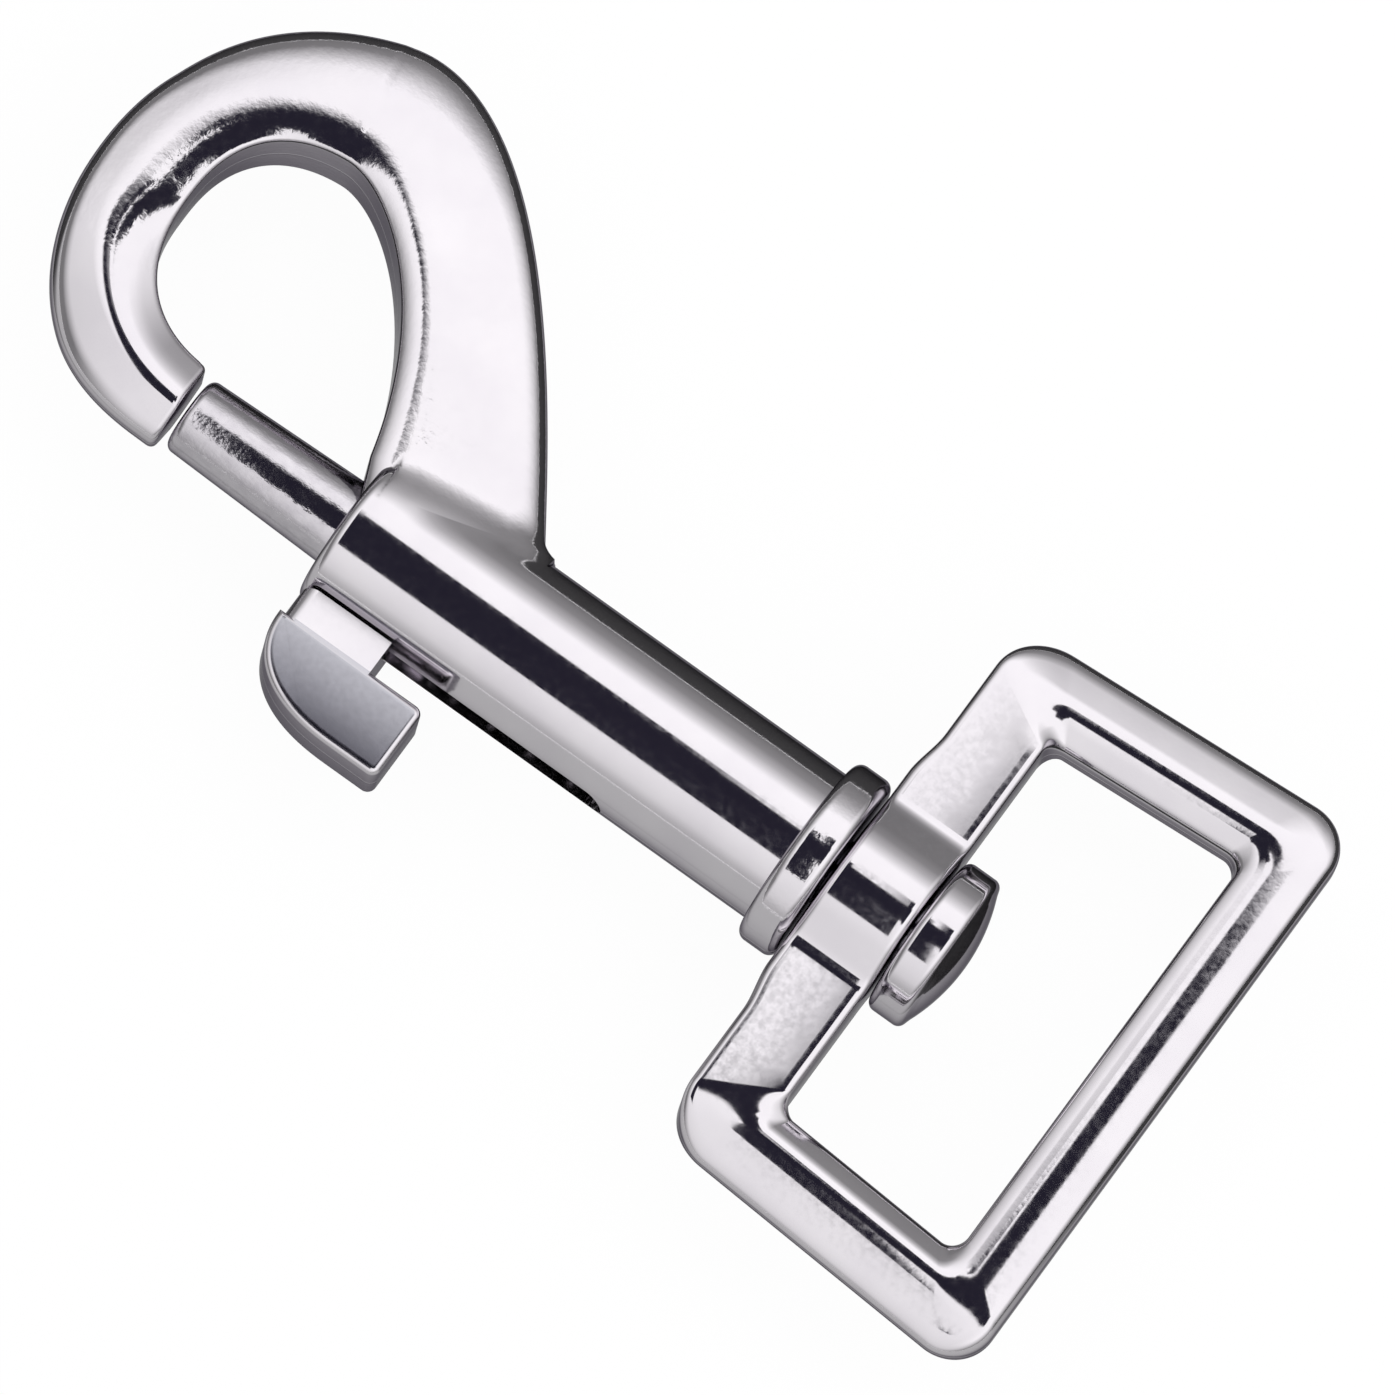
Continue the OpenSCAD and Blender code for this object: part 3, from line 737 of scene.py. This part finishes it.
wire = add(
    coil, "GeometryNodeCurveToMesh", {"Curve": path.outputs[0], "Profile Curve": round_wire.outputs[0]},
    {"Fill Caps": True},
)
solid = add(coil, "GeometryNodeRealizeInstances", {"Geometry": wire.outputs[0]})
finished = add(coil, "GeometryNodeSetMaterial", {"Geometry": solid.outputs[0], "Material": given["Finish"]})
add(coil, "NodeGroupOutput", {"Geometry": finished.outputs[0]})

drawn_wire, tree, metal, place = new_finish("drawn_spring_steel", 0.3)
# Drawing leaves fine scratches along the wire, and oil darkens it in clouds of about 1 mm
oil = add(tree, "ShaderNodeTexNoise", {"Vector": place}, {"Scale": 1000, "Detail": 3})
colour = add(tree, "ShaderNodeMix", {"Factor": oil.outputs["Fac"]}, data_type="RGBA")
colour.inputs["A"].default_value = linear("#A9A8A6")
colour.inputs["B"].default_value = linear("#77767A")
tree.links.new(colour.outputs["Result"], metal.inputs["Base Color"])
scratch = add(tree, "ShaderNodeBump", {"Height": oil.outputs["Fac"]}, {"Strength": 0.6, "Distance": 0.00001})
tree.links.new(scratch.outputs["Normal"], metal.inputs["Normal"])

spring = mesh_piece("coiled_spring", [], [])
turn_it = spring.modifiers.new("coil", "NODES")
turn_it.node_group = coil
for item in coil.interface.items_tree:
    if item.in_out == "INPUT":
        turn_it[item.identifier] = drawn_wire if item.name == "Finish" else dict(spring_sizes)[item.name]
spring_mesh = bpy.data.meshes.new_from_object(spring.evaluated_get(bpy.context.evaluated_depsgraph_get()))
spring.modifiers.clear()
spring.data = spring_mesh
spring.data.transform(Matrix.Translation((guide_x + overlap, 0, 0)))
close_up(spring)
stand_on_table(spring, sharp=60)
dress(spring, "hook", "spring_wire", drawn_wire, "bolt_spring")
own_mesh(spring)

# End collar
# The flanged zinc plug pressed into the barrel's rear end. The rivet's shank turns through it.

shank_r = 2.0
collar_r = 5.697
collar_edge_r = 0.6
press_gap = 0.01
# The plug's hole widens over this length, where the rivet's end is flared
flare_l = 0.6
plug_r = bore_d / 2 - press_gap
collar = turned(
    "plated_end_collar",
    [(plug_x, 2.31), (plug_x, plug_r), (0, plug_r)]
    + edge_arc((collar_edge_r, collar_r - collar_edge_r), collar_edge_r, 180, 90)
    + edge_arc((collar_t - collar_edge_r, collar_r - collar_edge_r), collar_edge_r, 90, 0)
    + [(collar_t, shank_r + press_gap), (plug_x + flare_l, shank_r + press_gap)],
)
stand_on_table(collar)
dress(collar, "hook", "plated_zinc", cast_nickel, "end_collar")

# Swivel rivet
# A domed steel rivet. Its head lies inside the eye, its shank passes through the eye's boss and the
# collar, and its end is flared over behind the plug. The head is polished before it is plated.

head_x = 7.9
head_r = 4.75
head_t = 2.3
head_edge_r = 0.5
dome_h = 0.9
flared_r = 2.3
rim_x = head_x + head_t
crown_r = head_r - head_edge_r
dome_r = (crown_r**2 + dome_h**2) / (2 * dome_h)
dome_a = math.degrees(math.asin(crown_r / dome_r))
dome_mid = (rim_x + dome_h - dome_r, 0)
rivet = turned(
    "plated_rivet",
    [(plug_x, 0), (plug_x, flared_r), (plug_x + flare_l, shank_r), (head_x, shank_r)]
    + edge_arc((head_x + head_edge_r, crown_r), head_edge_r, 180, 90)
    + edge_arc((rim_x - head_edge_r, crown_r), head_edge_r, 90, dome_a)
    + edge_arc(dome_mid, dome_r, dome_a, 0, 24)[1:],
)
stand_on_table(rivet)
turned_nickel = bright_nickel("bright_nickel_on_polished_steel", grain_share=0.3, seam=False)
dress(rivet, "hook", "plated_zinc", turned_nickel, "swivel_rivet")

# Swivel eye
# The four-sided loop for 25 mm webbing, one zinc casting: a flat near bar with a round boss for the
# rivet, and a crowned bar on each other side. It turns freely on the rivet.

strap_w = 25.0
near_x = 2.55
window_x = 7.75
far_x = 19.85
boss_proud = 0.4
far_bar_w = 4.2
inner_corner_r = 1
near_corner_r = 3.2
far_corner_r = 2.6
eye_flare = 3.7
outer_near_x = near_x + boss_proud
outer_far_x = far_x + far_bar_w
flare = math.radians(eye_flare)
bar_t = 4.6
near_t = bar_t * 1.04
boss_r = 4.7
crest_y = boss_r * 0.6
crest_z = math.sqrt(boss_r**2 - crest_y**2)
slope_y = crest_y + 2 * (crest_z - near_t / 2) * crest_z / crest_y


def side_y(x):
    """Half the width of the opening at a place along X: the sides spread away from the barrel."""
    return strap_w / 2 + (x - window_x) * math.tan(flare)


def corner_mid(p, r, a, b):
    """Middle of an arc that rounds a corner between two outward directions."""
    return np.array(p) - r * (polar(1, a) + polar(1, b)) / (1 + math.cos(math.radians(a - b)))


# The bars' sections: ridge, land and shoulder, then the six cuts. The side bar by the thumb tab has an
# outer face that falls more steeply than the other's.
side_up = (2.0, 0.5, 0.56, 0.4, 0.25, 0.4, 0.3, 0.35, 0.7)
side_down = (2.0, 0.5, 0.32, 0.4, 0.25, 0.4, 0.3, 0.3, 0.6)
far_side = (1.8, 0.7, 0.7, 0.35, 0.2, 0.8, 0.75, 0.25, 0.7)
flat = (2.6, 0.997, 0.994, 0.2, 0.22, 0.7, 0.7, 0.22, 0.25)


def eye_ring(inner, outer, thick, section):
    ridge, land, shoulder, a, b, c, d, e, f = section
    return bar_ring(inner, outer, thick, ridge, land, shoulder, ((a, b), (c, d), (e, f)))


def corner_rings(inner, outer, outer_r, start, end, thick_a, thick_b, section_a, section_b):
    """The rings round one corner, from its sharp points on the opening and on the outside."""
    rings = []
    for i in range(33):
        t = i / 32
        a = mix(start, end, t)
        rings.append(
            eye_ring(
                corner_mid(inner, inner_corner_r, start, end) + polar(inner_corner_r, a),
                corner_mid(outer, outer_r, start, end) + polar(outer_r, a),
                mix(thick_a, thick_b, ease(t)),
                blend(section_a, section_b, ease(t)),
            )
        )
    return rings


boss_fillet = 0.35


def near_ring(y):
    """The near bar's ring at a distance from the axis, over the boss or beside it."""
    d = abs(y)
    if d < crest_y:
        high = math.sqrt(boss_r**2 - d * d)
    else:
        # A straight slope that meets the bar in a tight fillet
        fall = crest_z - (d - crest_y) * crest_y / crest_z
        near = max(boss_fillet - abs(fall - near_t / 2), 0) / boss_fillet
        high = max(fall, near_t / 2) + near * near * boss_fillet / 4
    proud = boss_proud * ease((2 * boss_r - d) / (2 * boss_r - slope_y))
    return eye_ring((window_x, y), (outer_near_x - proud, y), 2 * high, flat)


def mirrored(rings):
    return [[(x, -y, z) for x, y, z in ring] for ring in reversed(rings)]


lean = 90 + eye_flare
side_out = 4.893 / math.cos(flare)


def half_eye(side):
    """The far corner and the near corner on the +Y side, in the order in which the loop runs."""
    far_in, far_out = (far_x, side_y(far_x)), (outer_far_x, side_y(outer_far_x) + side_out)
    near_in, near_out = (window_x, side_y(window_x)), (outer_near_x, side_y(outer_near_x) + side_out)
    return corner_rings(far_in, far_out, far_corner_r, 0, lean, bar_t, bar_t, far_side, side) + corner_rings(
        near_in, near_out, near_corner_r, lean, 180, bar_t, near_t, side, flat
    )


near_reach = strap_w / 2 - 1.6
near_bar = [near_ring(mix(near_reach, -near_reach, i / 160)) for i in range(161)]
eye = skin("plated_swivel_eye", half_eye(side_up) + near_bar + mirrored(half_eye(side_down)), closed=True)
rivet_hole_r = shank_r + running_gap
rivet_hole = [(near_x - 2, 0), (near_x - 2, rivet_hole_r), (window_x + 1, rivet_hole_r), (window_x + 1, 0)]
join(eye, turned("rivet_hole", rivet_hole), "DIFFERENCE")
close_up(eye)
stand_on_table(eye)
eye_nickel = bright_nickel("bright_nickel_on_tumbled_zinc", grain_share=0.2, grain_from=window_x + 0.3)
dress(eye, "eye", "plated_zinc", eye_nickel, "swivel_eye")

# Table
# A matt dark grey sheet under the piece, lifted to white for what looks at it. Close round the piece
# a reflection shorter than 400 mm goes without the lift, so the metal mirrors the dark sheet there as
# a painted shadow; within 10 mm, and in front of the piece, reflections get 0.44 of it: painted light.

sheet = mesh_piece("white_sheet", [(-1, -1, 0), (1, -1, 0), (1, 1, 0), (-1, 1, 0)], [(0, 1, 2, 3)])
sheet_finish = bpy.data.materials.new("matt_white_sheet")
sheet_finish.use_nodes = True
tree = sheet_finish.node_tree
tree.nodes.clear()
ray = add(tree, "ShaderNodeLightPath").outputs
far_off = add(tree, "ShaderNodeMath", {0: ray["Ray Length"]}, {1: 0.4}, operation="GREATER_THAN")
beside = add(tree, "ShaderNodeMath", {0: ray["Ray Length"]}, {1: 0.01}, operation="LESS_THAN")
spot_on_sheet = add(tree, "ShaderNodeSeparateXYZ", {"Vector": add(tree, "ShaderNodeTexCoord").outputs["Object"]})
# Painted light: reflections within 10 mm, and of the sheet in front of the piece, get 0.44 of the lift
in_front = add(
    tree, "ShaderNodeMapRange", {"Value": spot_on_sheet.outputs["Y"]},
    {"From Min": -0.004, "From Max": -0.016, "To Min": 0, "To Max": 1},
)
painted_near_glow = add(tree, "ShaderNodeMath", {0: beside.outputs[0], 1: in_front.outputs["Result"]}, operation="MAXIMUM")
lit_share = add(
    tree, "ShaderNodeMath", {0: painted_near_glow.outputs[0], 2: far_off.outputs[0]}, {1: 0.44},
    operation="MULTIPLY_ADD", use_clamp=True,
)
gloss_far = add(tree, "ShaderNodeMath", {0: ray["Is Glossy Ray"], 1: lit_share.outputs[0]}, operation="MULTIPLY")
seen = add(tree, "ShaderNodeMath", {0: ray["Is Camera Ray"], 1: gloss_far.outputs[0]}, operation="MAXIMUM")
seen = add(tree, "ShaderNodeMath", {0: seen.outputs[0], 1: ray["Is Transmission Ray"]}, operation="MAXIMUM")
lift = add(tree, "ShaderNodeMath", {0: seen.outputs[0]}, {1: 0.95}, operation="MULTIPLY")
matt = add(tree, "ShaderNodeBsdfDiffuse", values={"Color": linear("#4E4E4E")})
glow = add(tree, "ShaderNodeEmission", {"Strength": lift.outputs[0]})
both = add(tree, "ShaderNodeAddShader", {0: matt.outputs[0], 1: glow.outputs[0]})
add(tree, "ShaderNodeOutputMaterial", {"Surface": both.outputs[0]})
sheet.data.materials.append(sheet_finish)

# Studio
# A white dome that falls to grey at the horizon, and 0.3 m over the table the dark underside of the
# camera's boom, which the polished metal mirrors as a dark band. The boom is out of the picture.

boom = mesh_piece(
    "camera_boom",
    [(-0.13, -0.25, 0.3), (0.17, -0.25, 0.3), (0.17, 0.11, 0.3), (-0.13, 0.11, 0.3)],
    [(0, 1, 2, 3)],
)
boom_finish = bpy.data.materials.new("matt_black_boom")
boom_finish.use_nodes = True
tree = boom_finish.node_tree
tree.nodes.clear()
spot_on_boom = add(tree, "ShaderNodeSeparateXYZ", {"Vector": add(tree, "ShaderNodeTexCoord").outputs["Object"]})


def times(a, b):
    """The product of two sockets in the tree at hand."""
    return add(tree, "ShaderNodeMath", {0: a, 1: b}, operation="MULTIPLY").outputs[0]


def shade_between(axis, a, b, c, d):
    """1 between b and c on one axis of the boom, fading to 0 at a and d."""
    rise = add(
        tree, "ShaderNodeMapRange", {"Value": spot_on_boom.outputs[axis]},
        {"From Min": a, "From Max": b, "To Min": 0, "To Max": 1}, interpolation_type="SMOOTHSTEP",
    )
    fall = add(
        tree, "ShaderNodeMapRange", {"Value": spot_on_boom.outputs[axis]},
        {"From Min": c, "From Max": d, "To Min": 1, "To Max": 0}, interpolation_type="SMOOTHSTEP",
    )
    return times(rise.outputs["Result"], fall.outputs["Result"])


# Parts of the boom that the hook, the barrel, the swivel, the eye and the crown mirror: where each
# begins and ends along X, then along Y, in metres
shadow = None
for on_x, on_y in (
    ((-0.125, -0.100, -0.048, -0.040), (-0.246, -0.238, 0.028, 0.094)),
    ((-0.048, -0.040, -0.0115, -0.0085), (-0.2435, -0.2405, 0.0575, 0.0605)),
    ((-0.0115, -0.0085, 0.010, 0.014), (-0.2435, -0.2405, 0.030, 0.038)),
    ((-0.002, 0.010, 0.086, 0.094), (-0.085, -0.060, 0.080, 0.090)),
    ((0.030, 0.060, 0.130, 0.160), (-0.100, -0.070, 0.025, 0.045)),
):
    part = times(shade_between("X", *on_x), shade_between("Y", *on_y))
    if shadow is None:
        shadow = part
    else:
        shadow = add(tree, "ShaderNodeMath", {0: shadow, 1: part}, operation="ADD", use_clamp=True).outputs[0]
open_air = add(tree, "ShaderNodeBsdfTransparent")
dark = add(tree, "ShaderNodeEmission", values={"Color": linear("#24222E")})
soft = add(tree, "ShaderNodeMixShader", {0: shadow, 1: open_air.outputs[0], 2: dark.outputs[0]})
add(tree, "ShaderNodeOutputMaterial", {"Surface": soft.outputs[0]})
boom.data.materials.append(boom_finish)
boom.visible_camera = False

world = bpy.data.worlds.new("studio")
bpy.context.scene.world = world
world.use_nodes = True
tree = world.node_tree
tree.nodes.clear()
way = add(tree, "ShaderNodeSeparateXYZ", {"Vector": add(tree, "ShaderNodeTexCoord").outputs["Generated"]})
tilt = add(tree, "ShaderNodeMath", {0: way.outputs["Y"], 1: way.outputs["Z"]}, operation="ARCTAN2")
turn = add(
    tree, "ShaderNodeMapRange", {"Value": tilt.outputs[0]},
    {"From Min": math.radians(-180), "From Max": math.radians(180), "To Min": 0, "To Max": 1},
)
# Level by the angle about the barrel, from straight up towards +Y (degrees: level)
levels = [
    (-180, 0.1), (-125, 0.14), (-112, 0.2), (-98, 0.34), (-84, 0.52), (-72, 0.72), (-60, 0.8), (-38, 0.9),
    (0, 1.05), (40, 1.1), (48, 0.8), (58, 0.5), (72, 0.27), (84, 0.22), (96, 0.14), (110, 0.03), (180, 0.1),
]
ramp = add(tree, "ShaderNodeFloatCurve", {"Value": turn.outputs["Result"]})
curve = ramp.mapping.curves[0]
ramp.mapping.clip_max_y = 2
ramp.mapping.use_clip = False
for degrees, level in levels[1:-1]:
    curve.points.new((degrees + 180) / 360, level)
curve.points[0].location = (0, levels[0][1])
curve.points[len(levels) - 1].location = (1, levels[-1][1])
for point in curve.points:
    point.handle_type = "VECTOR"
ramp.mapping.update()
# Ends of the studio: away from the boom's line the diffusers close round, lower by the hook
ends = add(tree, "ShaderNodeMath", {0: way.outputs["X"]}, operation="ABSOLUTE")
end_share = add(
    tree, "ShaderNodeMapRange", {"Value": ends.outputs[0]},
    {"From Min": 0.15, "From Max": 0.6, "To Min": 0, "To Max": 1},
)
hook_end = add(tree, "ShaderNodeMath", {0: way.outputs["X"]}, {1: 0.0}, operation="LESS_THAN")
height = add(
    tree, "ShaderNodeMath", {0: hook_end.outputs[0], 2: way.outputs["Z"]}, {1: -0.33}, operation="MULTIPLY_ADD"
)
end_level = add(
    tree, "ShaderNodeMapRange", {"Value": height.outputs[0]},
    {"From Min": 0.0, "From Max": 0.6, "To Min": 0.2, "To Max": 1.05},
)
level = add(tree, "ShaderNodeMix", {"Factor": end_share.outputs["Result"]}, data_type="FLOAT")
tree.links.new(ramp.outputs[0], level.inputs["A"])
tree.links.new(end_level.outputs["Result"], level.inputs["B"])
dome = add(tree, "ShaderNodeBackground", {"Strength": level.outputs["Result"]}, {"Color": linear("#FFFEFF")})
add(tree, "ShaderNodeOutputWorld", {"Surface": dome.outputs[0]})

# Camera
# A long lens, 1.5 m away, from where the photograph was taken: 17.4 degrees to the right of the front
# and 75.8 degrees up, turned so that the barrel runs up to the right. The picture is 74.6 mm wide.

azimuth, elevation, roll = math.radians(17.4), math.radians(75.8), math.radians(-35.5)
level_share = math.cos(elevation)
to_camera = Vector((math.sin(azimuth) * level_share, -math.cos(azimuth) * level_share, math.sin(elevation)))
along = Vector((1, 0, 0)) - to_camera.x * to_camera
along.normalize()
over = to_camera.cross(along)
right = math.cos(roll) * along - math.sin(roll) * over
up = math.sin(roll) * along + math.cos(roll) * over
middle = (table_shift + Vector((1.2, 0, 0)) - 6.286 * right + 8.694 * up) / 1000
distance = 1.5
picture_w = 0.07463
lens = bpy.data.cameras.new("camera")
lens.lens = 36 * distance / picture_w
camera = bpy.data.objects.new("camera", lens)
camera_turn = Matrix((right, up, to_camera)).transposed().to_4x4()
camera.matrix_world = Matrix.Translation(middle + distance * to_camera) @ camera_turn
bpy.context.scene.collection.objects.link(camera)
bpy.context.scene.camera = camera
bpy.context.scene.view_settings.view_transform = "Standard"
